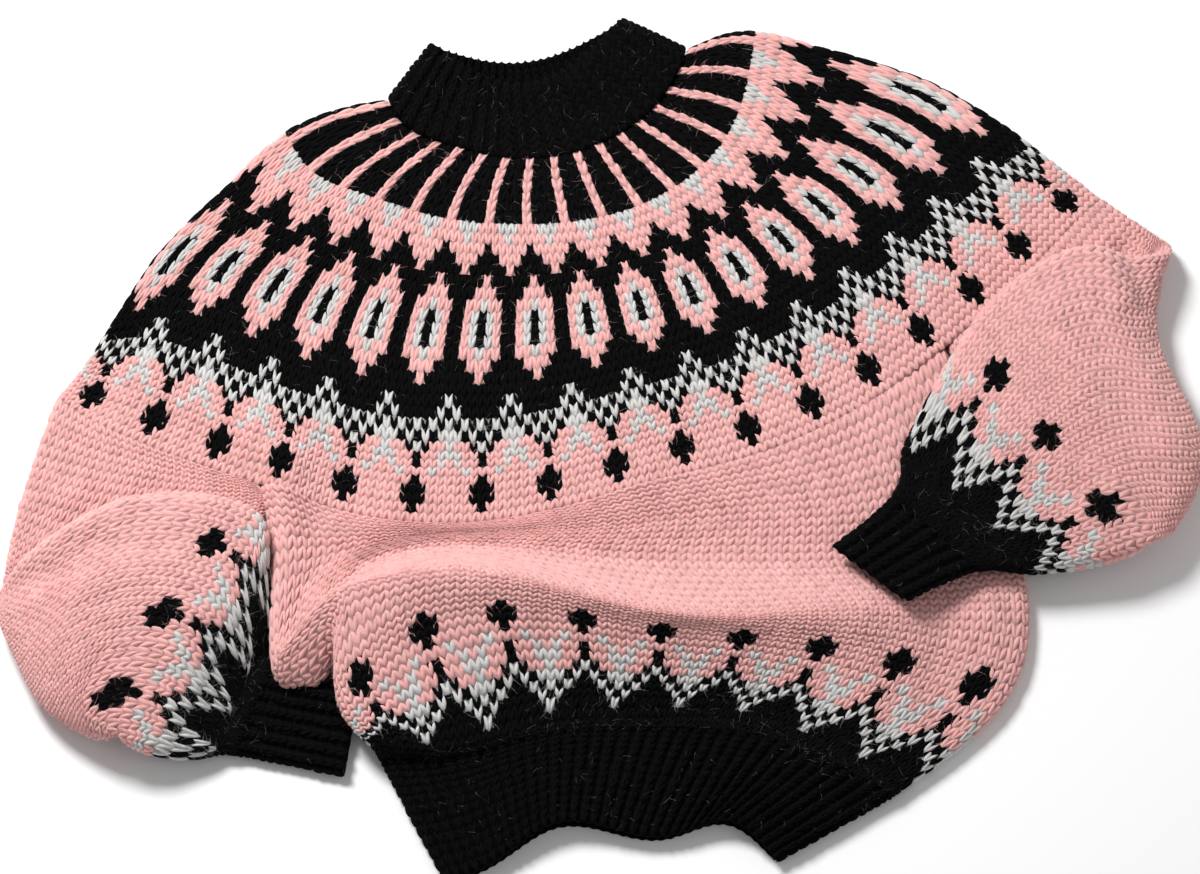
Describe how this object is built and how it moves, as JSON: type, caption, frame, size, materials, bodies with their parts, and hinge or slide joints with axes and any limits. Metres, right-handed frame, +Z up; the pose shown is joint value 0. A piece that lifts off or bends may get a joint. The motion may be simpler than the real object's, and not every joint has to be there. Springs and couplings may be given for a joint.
{
  "type": "fair isle sweater",
  "caption": "Brushed wool fair isle sweater with a round patterned yoke, lying flat with both sleeves folded in.",
  "frame": {"origin": "on the surface it lies on, under the middle of the whole garment's box", "axes": "+X to the right as seen from above with the neck away, +Y from hem to neck, +Z up from the surface"},
  "size_m": [0.8728, 0.6802, 0.0585],
  "materials": {
    "pink_wool": "matte",
    "patterned_wool": "matte",
    "black_rib": "matte"
  },
  "bodies": {
    "root": {"yoke": "patterned_wool", "collar": "black_rib", "body": "pink_wool", "hem_rib": "black_rib", "left_sleeve": "pink_wool", "right_sleeve": "pink_wool", "left_cuff": "black_rib", "right_cuff": "black_rib"}
  },
  "joints": []
}
